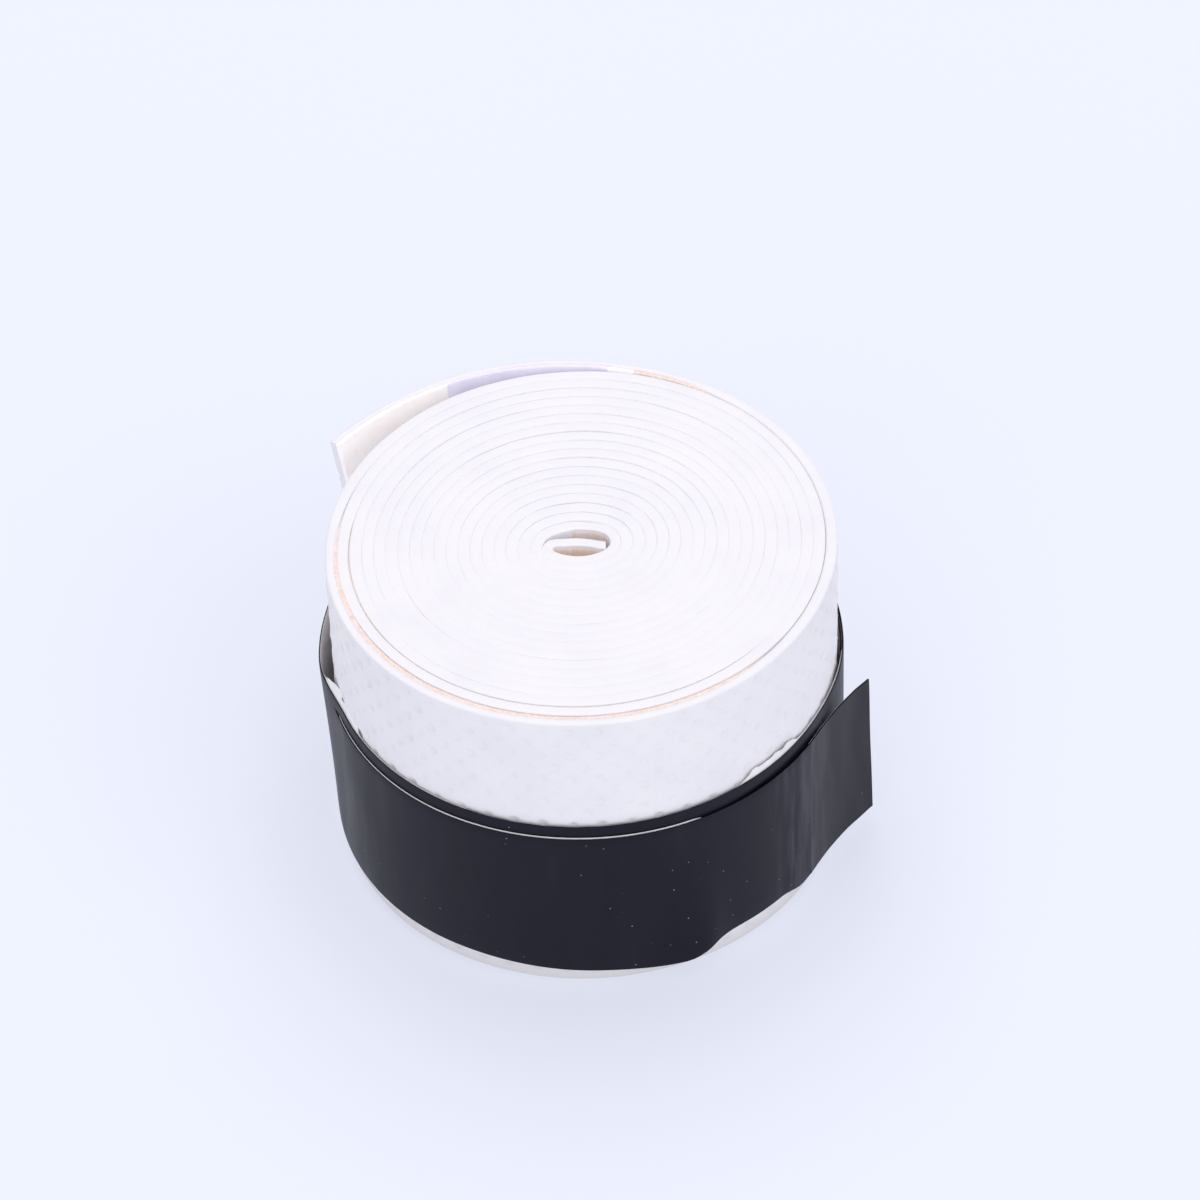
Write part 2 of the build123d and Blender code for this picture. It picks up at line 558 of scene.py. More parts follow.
@dataclass(frozen=True)
class ReleaseFilm(Finish):
    """Lilac see-through polythene film with faint stretch lines."""

    name: str = "release_film_lilac"

    def build(self, tree: Tree, shader: Node) -> None:
        """Thin, glossy and half clear, with a faint painted glow for light coming through the strip."""
        where = self.coordinates(tree, (1.0, 1.0, 0.15))
        self.coat(tree, shader, self.noise(tree, where, 900.0), [(0.3, (0.80, 0.78, 0.93)), (0.7, (0.90, 0.88, 0.98))])
        self.settle(shader, {"Roughness": 0.18, "Alpha": 0.55})
        # Painted light: a faint glow stands for light coming through the tail behind the film.
        self.settle(shader, {"Emission Color": (0.92, 0.90, 1.0, 1.0), "Emission Strength": 0.16})
        self.bump(tree, shader, self.noise(tree, where, 700.0), 0.3, 0.00005)


@dataclass(frozen=True)
class SatinTape(Finish):
    """Black satin film: fine grain, handling marks, dust and a greyer zone of painted sheen on its creases."""

    name: str = "satin_tape_black"
    black: Stops = ((0.35, (0.0045, 0.0045, 0.011)), (0.6, (0.007, 0.007, 0.015)), (0.8, (0.013, 0.013, 0.023)))
    dust: tuple[float, float, float] = (0.42, 0.42, 0.46)
    # Painted sheen: greyer colour for the creases where they catch the light.
    crease_sheen: tuple[float, float, float] = (0.040, 0.039, 0.050)

    def build(self, tree: Tree, shader: Node) -> None:
        """Near-black with mottled wear and sparse pale dust."""
        where = self.coordinates(tree)
        upright = self.coordinates(tree, (1.0, 1.0, 0.18))
        wear_and_sheen = self.noise(tree, upright, 420.0, 5.0)
        colour = self.ramp(tree, wear_and_sheen, self.black)
        # Painted sheen: streaks of greyer colour where the stored crease share is high.
        sheen_share = tree.nodes.new("ShaderNodeAttribute")
        sheen_share.attribute_name = "wear_and_sheen"
        folds = self.noise(tree, self.coordinates(tree, (1.0, 1.0, 0.12)), 1300.0, 5.0)
        sheen_streaks = self.ramp(tree, folds, [(0.42, (0.0,)), (0.68, (1.0,))])
        colour = self.stained(tree, colour, self.crease_sheen, self.product(tree, sheen_share.outputs["Fac"], sheen_streaks))
        specks = tree.nodes.new("ShaderNodeTexVoronoi")
        self.settle(specks, {"Scale": 1300.0, "Randomness": 1.0})
        tree.links.new(where, specks.inputs["Vector"])
        dots = self.ramp(tree, specks.outputs["Distance"], [(0.03, (1.0,)), (0.07, (0.0,))])
        rare = self.ramp(tree, self.noise(tree, where, 330.0), [(0.50, (0.0,)), (0.60, (1.0,))])
        colour = self.stained(tree, colour, self.dust, self.product(tree, dots, rare))
        tree.links.new(colour, shader.inputs["Base Color"])
        satin = self.ramp(tree, wear_and_sheen, [(0.3, (0.34,)), (0.75, (0.50,))])
        tree.links.new(satin, shader.inputs["Roughness"])
        shader.inputs["Specular IOR Level"].default_value = 0.14
        self.bump(tree, shader, self.noise(tree, upright, 1100.0, 4.0), 0.25, 0.00004)


@dataclass(frozen=True)
class LinerPaper(Finish):
    """Siliconed liner: thin cream film, crinkled, slightly glossy."""

    name: str = "liner_cream"
    cream: Stops = ((0.3, (0.82, 0.79, 0.75)), (0.6, (0.90, 0.89, 0.88)), (0.8, (0.93, 0.93, 0.95)))

    def build(self, tree: Tree, shader: Node) -> None:
        """Cream with pale crinkles."""
        where = self.coordinates(tree)
        self.coat(tree, shader, self.noise(tree, where, 700.0), self.cream)
        shader.inputs["Roughness"].default_value = 0.28
        self.bump(tree, shader, self.noise(tree, where, 1600.0), 0.5, 0.00008)


@dataclass(frozen=True)
class StudioFloor(Finish):
    """Pale blue-white sweep that keeps a soft shadow."""

    name: str = "studio_floor"
    own_light: tuple[float, float, float] = (0.45, 0.475, 0.555)
    lit_colour: tuple[float, float, float] = (0.40, 0.41, 0.43)

    def build(self, tree: Tree, shader: Node) -> None:
        """Matt floor with a little light of its own, so that the shadow on it stays faint."""
        self.settle(shader, {"Base Color": (*self.lit_colour, 1.0), "Roughness": 0.9, "Specular IOR Level": 0.0})
        self.settle(shader, {"Emission Color": (*self.own_light, 1.0), "Emission Strength": 1.0})


# ------------------------------------------------------------------ the wound strip


@dataclass
class GripStrip:
    """The overgrip strip: foam face and felt backing, wound from the core to a free tail."""

    width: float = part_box("grip_face")[1].z
    face: float = 0.45 * MM
    backing: float = 0.30 * MM
    turns: int = 19
    end_gap: float = 0.04 * MM
    side_gap: float = 0.073 * MM
    side_share: float = 0.732
    loop_x: float = -1.62 * MM
    band_y: float = -0.15 * MM
    band_length: float = 3.2 * MM
    loop_radius: float = 0.58 * MM
    side_radius: float = 3.45 * MM
    end_radius: float = 1.25 * MM
    tail_start: float = 68.0
    lift_end: float = 78.0
    patch_end: float = 118.0
    tail_end: float = 149.0
    lift_radius: float = 6.0 * MM
    return_radius: float = 1.04 * MM
    flare_base: float = 14.6 * MM
    flare_reach: float = 1.75 * MM
    inner_levels: int = 16
    edge_round: float = 0.13 * MM
    dish: float = 0.6 * MM
    lap: float = 0.372 * MM
    bare: float = 0.62
    dimple_depth: float = 0.16 * MM
    dimple_reach: float = 0.37 * MM
    dimple_pitch: float = 1.85 * MM
    dimple_row: float = 1.10 * MM
    corner: tuple[tuple[float, float], ...] = ((0.0, 1.0), (0.13, 0.5), (0.5, 0.13), (1.0, 0.0))
    coarse_step: float = 0.5 * MM
    fine_step: float = 0.19 * MM
    open_tail: float = 76.0
    core_end: float = 450.0
    core_lap: float = 0.285 * MM
    glue_line: float = 0.004 * MM
    loose_reach: float = 0.10 * MM
    loose_front: Zone = Zone(205.0, 285.0, 45.0)
    bare_front: Zone = Zone(190.0, 292.0, 38.0)
    flush_front: Zone = Zone(215.0, 320.0, 40.0)
    wound: list[Arc] = field(default_factory=list)
    low: list[Arc] = field(default_factory=list)

    def __post_init__(self) -> None:
        """Work out the arcs of the wound strip and of its tail."""
        laminate = self.face + self.backing
        end_pitch = laminate + self.end_gap
        growth = (laminate + self.side_gap - end_pitch) / self.side_share
        end_step = end_pitch + growth
        side_step = end_pitch - growth
        left = 2 * self.end_radius - self.loop_radius
        back = self.side_radius + end_pitch + self.loop_radius - self.end_radius
        arcs = [Arc(self.loop_x, self.band_y - self.loop_radius, self.loop_radius, 90.0, 180.0)]
        for turn in range(self.turns + 1):
            ends = turn * end_step
            sides = turn * side_step
            arcs += arcs[-1].follow([
                (self.loop_radius + ends, 60.0),
                (self.side_radius + sides, 60.0),
                (self.end_radius + ends, 120.0),
                (back + sides, 60.0),
                (left + ends, 60.0),
            ])
        self.wound = cut(arcs, 90.0, self.tail_start + 360 * self.turns)
        radius = self.wound[-1].radius
        held = radius - self.return_radius
        patch = self.patch_end - self.lift_end
        end = self.tail_end - self.patch_end
        lift = self.wound[-1].follow([(radius + self.lift_radius, self.lift_end - self.tail_start)])
        self.low = lift + lift[0].follow([(held, patch), (held, end)])

    @property
    def split(self) -> float:
        """Running direction, under the tail, where the outermost turn begins."""
        return self.tail_start + 36.0 + 360 * (self.turns - 1)

    def flare(self, stations: Stations, height: np.ndarray) -> np.ndarray:
        """How far the free tail leans outwards.

        Args:
            stations: Stations along the strip.
            height: Height on the strip.

        Returns:
            The lean at each station and height.
        """
        foot = self.flare_base * 0.85
        up = np.clip((height - foot) / (self.width - foot), 0.0, 1.0) ** 1.3
        first = self.tail_start + 2.0 + 360 * self.turns
        on = np.clip((stations.direction - first) / (self.tail_end - self.tail_start - 2.0), 0.0, 1.0) ** 2.3
        return self.flare_reach * up * on[:, None]

    def turn_back(self, stations: Stations) -> np.ndarray:
        """Degrees back from the strip's free end."""
        return self.tail_end + 360 * self.turns - stations.direction

    def slack(self, stations: Stations) -> np.ndarray:
        """Outward looseness of the outermost turns, largest at the front left.

        Args:
            stations: Stations along the strip.

        Returns:
            The distance at each station.
        """
        front = self.loose_front.on(np.mod(stations.direction, 360.0))
        return self.loose_reach * smooth(-self.turn_back(stations), -350.0, -290.0) * front

    def exposure(self, stations: Stations) -> np.ndarray:
        """How much of the felt's edge shows inside each turn.

        Args:
            stations: Stations along the strip.

        Returns:
            The share at each station, from 0 to 1.
        """
        turn_back = self.turn_back(stations)
        front = self.bare_front.on(np.mod(stations.direction, 360.0))
        outer = 1.0 - smooth(turn_back, 330.0, 372.0)
        second = (1.0 - smooth(turn_back, 690.0, 735.0)) * (1.0 - outer)
        tail = 1.0 - smooth(turn_back, 80.0, 100.0)
        return np.clip(outer * (0.22 + 0.78 * front) + second * 0.5 * front + tail, 0.0, 1.0)

    def opening(self, stations: Stations) -> np.ndarray:
        """How rounded the turns' edges are: full outside, nearly flush at the front of the coil.

        Args:
            stations: Stations along the strip.

        Returns:
            The share at each station, from 0 to 1.
        """
        outer = 1.0 - smooth(self.turn_back(stations), 330.0, 420.0)
        turn = stations.direction / 360.0
        flush = self.flush_front.on(np.mod(stations.direction, 360.0))
        loose = np.clip(0.50 + 0.22 * ripple(turn * 0.9, 21) + 0.12 * ripple(turn * 6.0, 22), 0.22, 0.8)
        return np.maximum(outer, loose * (1.0 - 0.75 * flush))

    def crown(self, stations: Stations) -> np.ndarray:
        """Small rise and fall of the turns' edges."""
        turn = stations.direction / 360.0
        return (0.045 * ripple(turn * 1.7, 11) + 0.02 * ripple(turn * 9.0, 12)) * MM

    def dimples(self, along: np.ndarray, height: np.ndarray) -> np.ndarray:
        """Depth of the pressed pattern: staggered rows of small crescents.

        Args:
            along: Distance along the strip.
            height: Height on the strip.

        Returns:
            Depth below the smooth face at each pair.
        """
        row = np.round(height / self.dimple_row)
        shift = 0.5 * np.mod(row, 2.0)
        column = np.round(along / self.dimple_pitch - shift)
        wobble = np.sin(row * 12.9898 + column * 78.233) * 43758.5453
        wobble = wobble - np.floor(wobble)
        dx = along - (column + shift) * self.dimple_pitch + (wobble - 0.5) * 0.16 * MM
        dz = height - row * self.dimple_row
        reach = self.dimple_reach * (0.82 + 0.3 * wobble)
        radius = np.hypot(dx, dz * 1.15) / reach
        cup = np.clip(1.0 - radius * radius, 0.0, 1.0) ** 1.5
        rim = np.exp(-((radius - 1.05) / 0.22) ** 2) * smooth(-dz / reach, 0.0, 0.9)
        return self.dimple_depth * (0.7 + 0.5 * wobble) * (cup - 0.36 * rim)

    def profile(self, stations: Stations, inner: np.ndarray, outer: np.ndarray, heights: int, drop: np.ndarray,
                dimpled: bool) -> np.ndarray:
        """Rings of the strip's cross-section, in offset and height, for every station.

        Args:
            stations: Stations along the strip.
            inner: Offset of the inner side at each station.
            outer: Offset of the outer side at each station.
            heights: Number of levels on the outer side.
            drop: How far the top and bottom edges stand in from the strip's width.
            dimpled: Whether the outer side carries the pressed pattern.

        Returns:
            Array of stations by profile points by offset and height.
        """
        soft = np.minimum(self.edge_round * self.opening(stations), (outer - inner) * 0.3)
        wide = soft * 1.5
        middle = np.exp(-np.hypot(*stations.points.T) / (7.0 * MM))
        top = self.width - drop - self.dish * middle
        rows = [(inner + wide * across, drop + soft * down) for across, down in reversed(self.corner)]
        for t in np.linspace(0.0, 1.0, self.inner_levels)[1:-1]:
            rows.append((inner, drop + soft + (top - drop - 2 * soft) * t))
        rows += [(inner + wide * across, top - soft * down) for across, down in self.corner]
        rows += [(outer - wide * across, top - soft * down) for across, down in reversed(self.corner)]
        for t in np.linspace(1.0, 0.0, heights)[1:-1]:
            level = drop + soft + (top - drop - 2 * soft) * t
            depth = self.dimples(stations.along, level) if dimpled else 0.0
            rows.append((outer - depth, level))
        rows += [(outer - wide * across, drop + soft * down) for across, down in self.corner]
        return np.stack([np.stack([out, level], -1) for out, level in rows], 1)

    def place(self, rings: np.ndarray, stations: Stations) -> np.ndarray:
        """Put flat rings in space, looser above the band and leaning outwards over the tail's flare.

        Args:
            rings: Offset and height of each profile point.
            stations: Their stations.

        Returns:
            The rings in space.
        """
        loose = smooth(rings[..., 1], 15.0 * MM, 22.0 * MM) * self.slack(stations)[:, None]
        out = rings[..., 0] + loose + self.flare(stations, rings[..., 1])
        plan = stations.points[:, None, :] + stations.normals[:, None, :] * out[..., None]
        return np.concatenate([plan, rings[..., 1:]], -1)

    def outer_stations(self, step: float, before: float = 0.0) -> Stations:
        """Stations of the outermost turn and the tail.

        Args:
            step: Longest step along them.
            before: Length wound before them.

        Returns:
            The stations.
        """
        stations = sample(cut(self.wound, self.split, self.wound[-1].end) + self.low, step)
        stations.along = stations.along + before
        return stations

    def coil_stations(self) -> Stations:
        """Stations of the wound strip, with its inner end waving across the core."""
        coil = sample(cut(self.wound, 90.0, self.split), self.coarse_step, lead=self.band_length, turn=5.0)
        share = np.clip(1.0 - coil.along / self.band_length, 0.0, 1.0)
        coil.points[:, 1] += (0.30 * np.sin(share * math.pi * 1.5) - 0.10 * share) * share * MM
        return coil

    def solid(self, name: str, rings: np.ndarray, stations: Stations) -> bpy.types.Object:
        """Closed mesh of one layer of the strip from its flat rings."""
        crest = self.inner_levels - 2 + 2 * len(self.corner)
        return tube(name, self.place(rings, stations), crest=crest)

    def face_piece(self, name: str, node: str, stations: Stations, levels: int, dimpled: bool) -> None:
        """Make and dress a stretch of the foam face, whose soft edge laps over the felt's.

        Args:
            name: Name of the piece.
            node: CAD node that it replaces.
            stations: Stations along the strip.
            levels: Number of levels on its outer side.
            dimpled: Whether it carries the pressed pattern.
        """
        cover = self.lap * (1.0 - self.bare * self.exposure(stations))
        cover = cover * smooth(self.turn_back(stations), self.open_tail, self.open_tail + 16.0)
        cover = np.minimum(cover, self.core_lap + smooth(stations.direction, self.core_end, self.core_end + 60.0) * MM)
        outer = np.full_like(cover, self.face)
        drop = self.crown(stations) * 0.8 + 0.06 * MM
        piece = self.solid(name, self.profile(stations, -cover, outer, levels, drop, dimpled), stations)
        dress(piece, TackyFoam(), Body.ROLL, Slot.FACE, node)

    def backing_piece(self, name: str, node: str, stations: Stations) -> bpy.types.Object:
        """Make and dress a stretch of the felt backing.

        Args:
            name: Name of the piece.
            node: CAD node that it replaces.
            stations: Stations along the strip.

        Returns:
            The piece.
        """
        show = self.exposure(stations)
        drop = (0.30 - 0.22 * show) * MM
        spread = 0.15 * MM * show * smooth(self.turn_back(stations), 80.0, 110.0)
        spread = spread + 0.02 * MM * (1.0 - smooth(stations.direction, self.core_end, self.core_end + 30.0))
        outer = np.full_like(drop, -self.glue_line)
        piece = self.solid(name, self.profile(stations, -self.backing - spread, outer, 12, drop, False), stations)
        dress(piece, Felt(), Body.ROLL, Slot.BACKING, node)
        return piece

    def build(self) -> None:
        """Make the wound strip, its outermost turn and its tail."""
        coil = self.coil_stations()
        felt = self.outer_stations(self.coarse_step)
        self.face_piece("grip_face_coil", "grip_face", coil, 6, False)
        outer = self.outer_stations(self.fine_step, coil.along[-1])
        self.face_piece("grip_face_outer_turn", "grip_face_tail", outer, 128, True)
        self.backing_piece("grip_backing_coil", "grip_backing", coil)
        # The open tail gets the painted-light copy of the felt.
        self.painted_light_tail(self.backing_piece("grip_backing_outer_turn", "grip_backing_tail", felt), felt)

    def painted_light_tail(self, piece: bpy.types.Object, stations: Stations) -> None:
        """Give the open tail's faces the lighter, glowing copy of the felt, which is painted light.

        Args:
            piece: The outermost stretch of felt.
            stations: Its stations.
        """
        piece.data.materials.append(PaintedLightFelt().material())
        ring = len(piece.data.vertices) // len(stations.along)
        first = int(np.searchsorted(-self.turn_back(stations), -self.open_tail))
        for face in piece.data.polygons:
            if min(face.vertices) // ring >= first:
                face.material_index = 1

    def patch(self, name: str, offsets: tuple[float, float], finish: Finish, body: Body, slot: Slot,
              rise: float) -> bpy.types.Object:
        """Thin layer on the inner side of the tail's starter patch.

        Args:
            name: CAD node that the layer replaces.
            offsets: Inner and outer offset of the layer.
            finish: Its finish.
            body: Body that it rides on.
            slot: Material slot.
            rise: How far its top edge stands above the strip's.

        Returns:
            The piece.
        """
        foot = sample([self.low[1]], 0.35 * MM)
        count = len(foot.along)
        levels = np.linspace(0.05 * MM, self.width + rise, 36)
        rows = []
        for offset, order in zip(offsets, (levels, levels[::-1])):
            rows += [np.stack([np.full(count, offset), np.full(count, level)], -1) for level in order]
        piece = tube(name + "_layer", self.place(np.stack(rows, 1), foot))
        dress(piece, finish, body, slot, name)
        return piece


# ------------------------------------------------------------------ the finishing tape


@dataclass
class FinishingTape:
    """Black tape on its liner, wound almost twice round the roll, with a free end."""

    strip: GripStrip
    base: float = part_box("finishing_tape")[0].z
    top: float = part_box("finishing_tape")[1].z
    thickness: float = 0.11 * MM
    liner: float = 0.06 * MM
    clearance: float = 0.08 * MM
    wrap_gap: float = 0.015 * MM
    start: float = -5.0
    ramp_start: float = -32.5
    ramp_sweep: float = 13.0
    tail_direction: float = -33.0
    tail_length: float = 7.7 * MM
    tail_steps: int = 28
    bend: tuple[float, float] = (0.1, 2.6)
    lifted_side: Zone = Zone(530.0, 600.0, 30.0)
    lifted_end: Zone = Zone(658.0, 676.0, 8.0)
    gaping_first: Zone = Zone(160.0, 180.0, 20.0)
    gaping_second: Zone = Zone(520.0, 536.0, 20.0)
    # Stretch of the wound tape that carries painted crease sheen.
    crease_sheen_zone: Zone = Zone(680.0, 700.0, 10.0)
    border_first: Zone = Zone(120.0, 232.0, 14.0)
    border_right: Zone = Zone(322.0, 350.0, 5.0)
    border_second: Zone = Zone(528.0, 652.0, 3.0)
    flap_left: Zone = Zone(192.0, 203.0, 6.0)
    flap_right: Zone = Zone(309.0, 319.0, 5.0)
    buckle_direction: float = 654.0
    chain: list[Arc] = field(default_factory=list)

    def __post_init__(self) -> None:
        """Work out the tape's path round the held roll."""
        strip = self.strip
        lap = strip.wound[-1].end - 360
        roll = [a.moved(strip.face, -strip.turns) for a in cut(strip.wound, lap - 360, lap + 360)]
        tail = [a.moved(strip.face, -strip.turns) for a in strip.low]
        corner = tail[-1].at(strip.tail_end)
        under = 120.0 - 360
        landing = [a for a in roll if a.start <= under + 1e-6 and a.end > under][-1]
        gap = corner - np.array([landing.x, landing.y])
        touch = math.degrees(math.atan2(gap[1], gap[0]) + math.acos(landing.radius / np.hypot(*gap)))
        lap_path = cut(roll, touch - 360, strip.tail_start) + tail + [Arc(*corner, 0.0, strip.tail_end, touch)]
        rise = self.thickness + self.liner + self.wrap_gap
        first = cut(lap_path, self.start, touch)
        first += [a.moved(0.0, 1) for a in cut(lap_path, touch - 360, self.ramp_start)]
        up = rise / (2 * (1 - math.cos(math.radians(self.ramp_sweep))))
        down = up * (1 - 2 * math.cos(math.radians(self.ramp_sweep)))
        radius = first[-1].radius
        ramp = first[-1].follow([(radius + up, self.ramp_sweep), (radius + down, self.ramp_sweep)])
        over = self.ramp_start + 2 * self.ramp_sweep
        second = [a.moved(rise, 1) for a in cut(lap_path, over, touch)]
        second += [a.moved(rise, 2) for a in cut(lap_path, touch - 360, self.tail_direction)]
        self.chain = [a.moved(self.clearance, 0) for a in first + ramp + second]

    def drift(self, direction: np.ndarray) -> np.ndarray:
        """How much higher the first lap lies than the second."""
        return (1.05 * (1.0 - smooth(direction, 310.0, 520.0)) + 0.08 * ripple(direction / 150.0, 61)) * MM

    def lifted(self, direction: np.ndarray) -> np.ndarray:
        """How far the tape's lower edge stands above its straight line."""
        return (0.30 + 0.30 * self.lifted_side.on(direction) + 0.70 * self.lifted_end.on(direction)) * MM

    def standing_off(self, direction: np.ndarray, share: np.ndarray) -> np.ndarray:
        """Outward distance of the tape from its tight path.

        Args:
            direction: Running direction.
            share: Height on the tape, 0 at its base and 1 at its top.

        Returns:
            The distance.
        """
        left_first = self.gaping_first.on(direction) * share ** 1.3 * 0.75
        left_second = self.gaping_second.on(direction) * share ** 1.3 * 0.62
        step = (direction - self.buckle_direction) / 16.0
        bulge = np.exp(-(step / np.where(step < 0, 0.95, 0.28)) ** 2)
        buckle = bulge * (1.0 - share) ** 2.2 * 0.62
        lift_end = smooth(direction, 660.0, 687.0) * 0.10
        return (left_first + left_second + buckle + lift_end) * MM

    def ring_rows(self, stations: Stations, offsets: tuple[float, float], rise: np.ndarray, curl: np.ndarray,
                  levels: int) -> np.ndarray:
        """Rings of one layer of the tape.

        Args:
            stations: Stations along the tape.
            offsets: Inner and outer offset of the layer.
            rise: How far the layer's top edge stands above the tape's, at each station.
            curl: Radial shift of that standing edge.
            levels: Number of levels up each side.

        Returns:
            Rings in space.
        """
        drift = self.drift(stations.direction)
        base = self.base + drift + self.lifted(stations.direction)
        top = self.top + drift
        rows = []
        above = np.maximum(rise, 0.0)
        edge = min(0.03 * MM, (offsets[1] - offsets[0]) * 0.3)
        steps = np.linspace(0.0, 1.0, levels) ** 0.8
        for offset, inwards, order in ((offsets[0], 1.0, steps), (offsets[1], -1.0, steps[::-1])):
            for t in order:
                height = base + (top - base + rise) * t
                over = np.clip((height - top) / np.maximum(above, 1e-6), 0.0, 1.0) * (above > 1e-6)
                share = np.clip((height - base) / (top - base), 0.0, 1.0)
                out = offset + self.standing_off(stations.direction, share) + curl * over ** 1.5
                if t in (0.0, 1.0):
                    out = out + inwards * edge
                plan = stations.points + stations.normals * out[:, None]
                rows.append(np.concatenate([plan, height[:, None]], 1))
        return np.stack(rows, 1)

    def liner_rise(self, direction: np.ndarray) -> tuple[np.ndarray, np.ndarray]:
        """How far the liner stands above the tape and how it curls.

        Args:
            direction: Running direction.

        Returns:
            Rise and radial curl at each direction.
        """
        ragged = 0.5 + 0.5 * ripple(direction / 14.0, 41)
        left = self.flap_left.on(direction) * (0.60 + 0.35 * ragged)
        right = self.flap_right.on(direction) * (0.60 + 0.45 * ragged)
        border = self.border_first.on(direction) * 0.05 + self.border_second.on(direction) * 0.09
        rise = border + left + right + self.border_right.on(direction) * 0.14
        crumple = ripple(direction / 6.5, 42)
        curl = left * (-0.26 + 0.16 * crumple) + right * (0.10 + 0.10 * crumple)
        return np.where(rise > 0.01, rise, -0.3) * MM, curl * MM

    def free_end(self, offsets: tuple[float, float], name: str, grow: float) -> bpy.types.Object:
        """Flat free end of one layer, slightly bowed.

        Args:
            offsets: Inner and outer offset of the layer.
            name: Name of the piece.
            grow: How far the layer reaches past the tape at its edges.

        Returns:
            The piece.
        """
        last = self.chain[-1]
        start = last.at(last.end)
        reach = np.linspace(0.0, 1.0, self.tail_steps)
        drift = self.drift(np.array([last.end]))[0]
        standing = self.standing_off(np.array([last.end]), np.array([0.5]))[0]
        base = self.base + drift - grow
        top = self.top + drift + grow
        rows = []
        levels = np.linspace(0.0, 1.0, 18)
        for offset, order in zip(offsets, (levels, levels[::-1])):
            for t in order:
                run = reach * (self.tail_length + 0.25 * MM * (1.0 - t))
                bow = standing - 0.22 * MM * np.sin(reach * math.pi) + 0.30 * MM * reach ** 2 * (1.0 - t)
                wave = 0.05 * MM * ripple(reach * 1.6 + t * 0.7, 51) * reach
                plan = start + onward(last.end) * run[:, None] + outward(last.end) * (offset + bow + wave)[:, None]
                climb = -(0.25 + 0.60 * t) * MM * reach + 0.30 * MM * (1.0 - reach) * (1.0 - t)
                rows.append(np.concatenate([plan, (base + (top - base) * t + climb)[:, None]], 1))
        return tube(name, np.stack(rows, 1), 35.0)

    @staticmethod
    def mark(piece: bpy.types.Object, sheen_share: np.ndarray) -> None:
        """Store how much painted crease sheen the tape carries.

        Args:
            piece: The piece, made of rings.
            sheen_share: Share of painted crease sheen on each ring, 0 to 1.
        """
        ring = len(piece.data.vertices) // len(sheen_share)
        attribute = piece.data.attributes.new("wear_and_sheen", "FLOAT", "POINT")
        attribute.data.foreach_set("value", np.repeat(sheen_share, ring).astype(np.float32))

    def build(self) -> None:
        """Make both layers of the wound tape and of its free end."""
        stations = sample(self.chain, 0.45 * MM, turn=3.0)
        fine = sample(self.chain, 0.3 * MM, turn=3.0)
        layer = (self.liner, self.liner + self.thickness)
        lining = (0.02 * MM, self.liner - 0.004 * MM)
        none = np.zeros_like(stations.along)
        tape = tube("finishing_tape_laps", self.ring_rows(stations, layer, none, none, 30), 35.0)
        # Painted crease sheen over the creased stretch.
        self.mark(tape, self.crease_sheen_zone.on(stations.direction))
        dress(tape, SatinTape(), Body.BAND, Slot.TAPE, "finishing_tape")
        under = tube("tape_liner_laps", self.ring_rows(fine, lining, *self.liner_rise(fine.direction), 34), 35.0)
        dress(under, LinerPaper(), Body.BAND, Slot.LINER, "tape_liner")
        for offsets, name, grow, finish, slot, node in (
            (layer, "finishing_tape_free_end", 0.0, SatinTape(), Slot.TAPE, "finishing_tape_tail"),
            (lining, "tape_liner_free_end", -0.05 * MM, LinerPaper(), Slot.LINER, "tape_liner_tail"),
        ):
            piece = self.free_end(offsets, name, grow)
            # Painted crease sheen, fading out from the free end's root.
            self.mark(piece, 1.0 - smooth(np.linspace(0.0, 1.0, self.tail_steps), 0.0, 0.5))
            piece.data.materials.append(finish.material())
            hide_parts(node)
            last = self.chain[-1]
            near, far = (last.at(last.end) + onward(last.end) * reach * MM for reach in self.bend)
            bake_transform(piece)
            log.info("%s: %d faces on the free end", name, len(piece.data.polygons))


# ------------------------------------------------------------------ studio


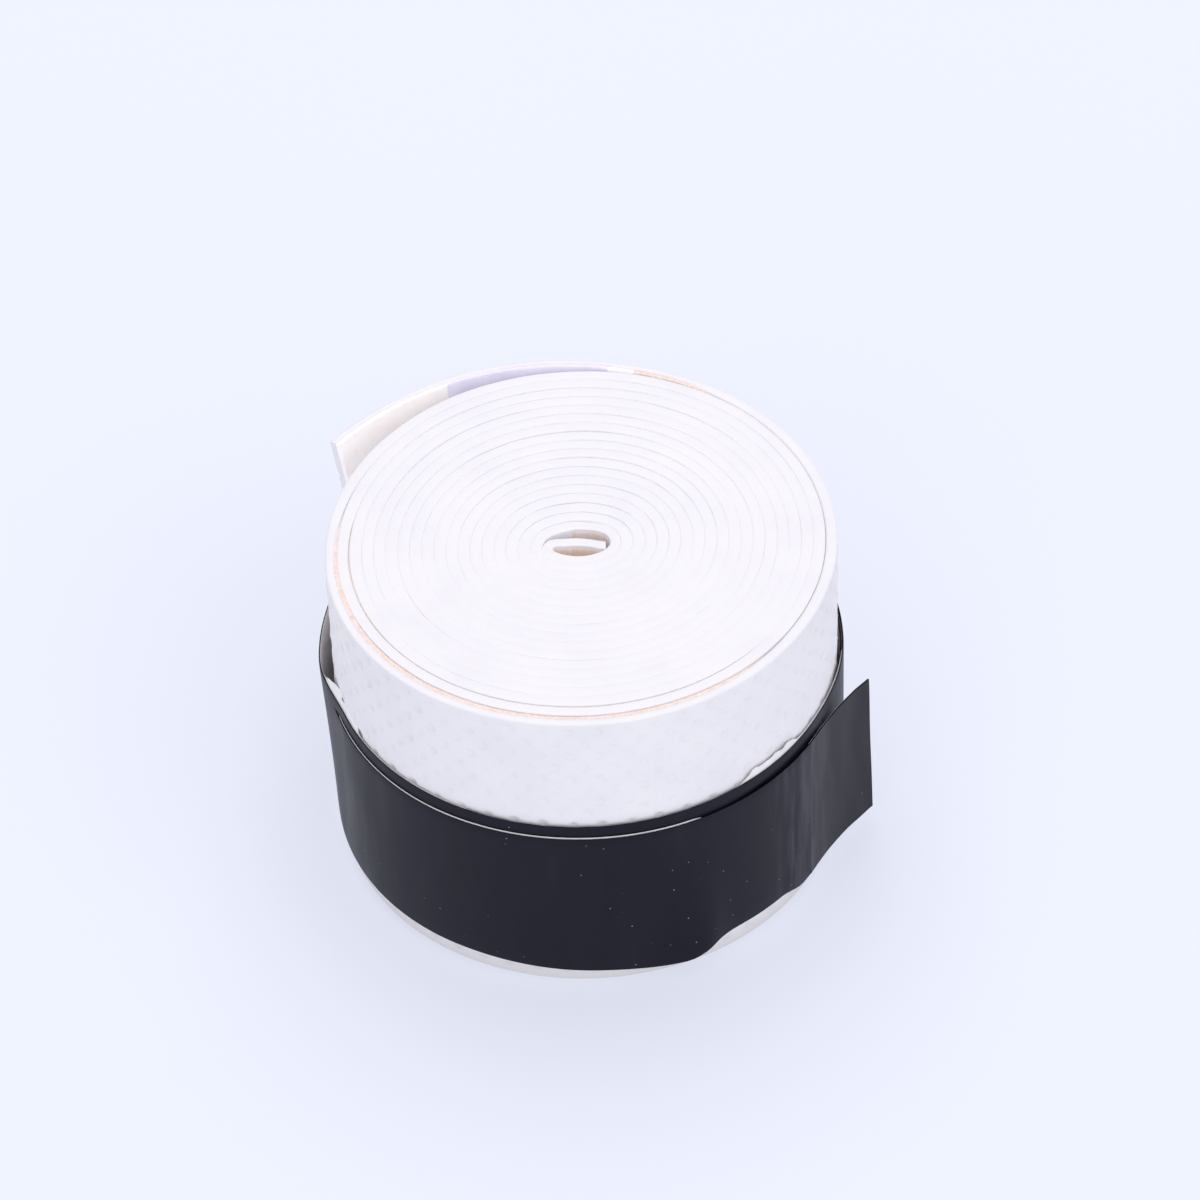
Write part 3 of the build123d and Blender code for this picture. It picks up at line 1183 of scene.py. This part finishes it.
@dataclass
class Studio:
    """Pale floor, soft lamps and a long lens from above the front."""

    distance: float = 0.4144
    elevation: float = 47.46
    surround: float = 0.66
    lens: float = 180.9
    roll: float = -2.09
    aim: tuple[float, float] = (0.001112, 0.013174)
    lamp_height: float = 12.0 * MM
    surround_colour: tuple[float, float, float] = (0.89, 0.875, 0.97)

    def floor(self) -> None:
        """Large pale floor under the roll."""
        bpy.ops.mesh.primitive_grid_add(x_subdivisions=2, y_subdivisions=2, size=6.0, location=(0.0, 0.0, -0.00002))
        plane = bpy.context.object
        plane.name = "floor"
        plane.data.materials.append(StudioFloor().material())

    def lamp(self, name: str, size: float, energy: float, place: tuple[float, float, float],
             colour: tuple[float, float, float]) -> None:
        """Soft square lamp aimed at the roll.

        Args:
            name: Name of the lamp.
            size: Side of the square.
            energy: Power in watts.
            place: Where it stands.
            colour: Its colour.
        """
        data = bpy.data.lights.new(name, "AREA")
        data.shape = "SQUARE"
        data.size = size
        data.energy = energy
        data.color = colour
        lamp = bpy.data.objects.new(name, data)
        lamp.location = place
        lamp.rotation_mode = "QUATERNION"
        lamp.rotation_quaternion = (Vector((0.0, 0.0, self.lamp_height)) - Vector(place)).to_track_quat("-Z", "Y")
        bpy.context.scene.collection.objects.link(lamp)

    def world(self) -> None:
        """Even pale surroundings."""
        world = bpy.data.worlds.new("surround")
        world.use_nodes = True
        bpy.context.scene.world = world
        back = world.node_tree.nodes["Background"]
        back.inputs["Color"].default_value = (*self.surround_colour, 1.0)
        back.inputs["Strength"].default_value = self.surround

    def camera(self) -> None:
        """Camera at the viewing angle, with the roll below the middle of the frame."""
        data = bpy.data.cameras.new("camera")
        data.lens = self.lens
        data.sensor_width = 36.0
        data.clip_start = 0.01
        data.clip_end = 20.0
        camera = bpy.data.objects.new("camera", data)
        elevation = math.radians(self.elevation)
        place = Vector((0.0, -math.cos(elevation), math.sin(elevation))) * self.distance
        camera.location = place
        up = Vector((0.0, math.sin(elevation), math.cos(elevation)))
        target = Vector((1.0, 0.0, 0.0)) * self.aim[0] + up * self.aim[1]
        camera.rotation_mode = "QUATERNION"
        tilt = Matrix.Rotation(math.radians(self.roll), 3, "Z").to_quaternion()
        camera.rotation_quaternion = (target - place).to_track_quat("-Z", "Y") @ tilt
        bpy.context.scene.collection.objects.link(camera)
        bpy.context.scene.camera = camera

    def build(self) -> None:
        """Set the whole studio."""
        scene = bpy.context.scene
        scene.view_settings.view_transform = "Standard"
        self.floor()
        self.world()
        self.lamp("key", 0.7, 2.95, (0.0, 0.32, 0.78), (1.0, 0.99, 0.985))
        self.lamp("fill", 0.9, 2.4, (0.55, -0.55, 0.65), (0.97, 0.98, 1.0))
        self.lamp("front", 1.0, 2.5, (-0.5, -0.9, 0.35), (0.98, 0.98, 1.0))
        self.camera()


def main() -> None:
    """Build the roll and its studio, and report each piece."""
    logging.basicConfig(level=logging.INFO, format="%(message)s")
    strip = GripStrip()
    strip.build()
    adhesive = -strip.backing - 0.05 * MM
    strip.patch("starter_adhesive", (adhesive, -strip.backing), GlueSkin(), Body.ROLL, Slot.ADHESIVE, -0.1 * MM)
    film_out = adhesive - 0.015 * MM
    film_layer = (film_out - 0.03 * MM, film_out)
    film = strip.patch("starter_release_film", film_layer, ReleaseFilm(), Body.FILM, Slot.FILM, 0.12 * MM)
    FinishingTape(strip).build()
    Studio().build()


if __name__ == "__main__":
    main()
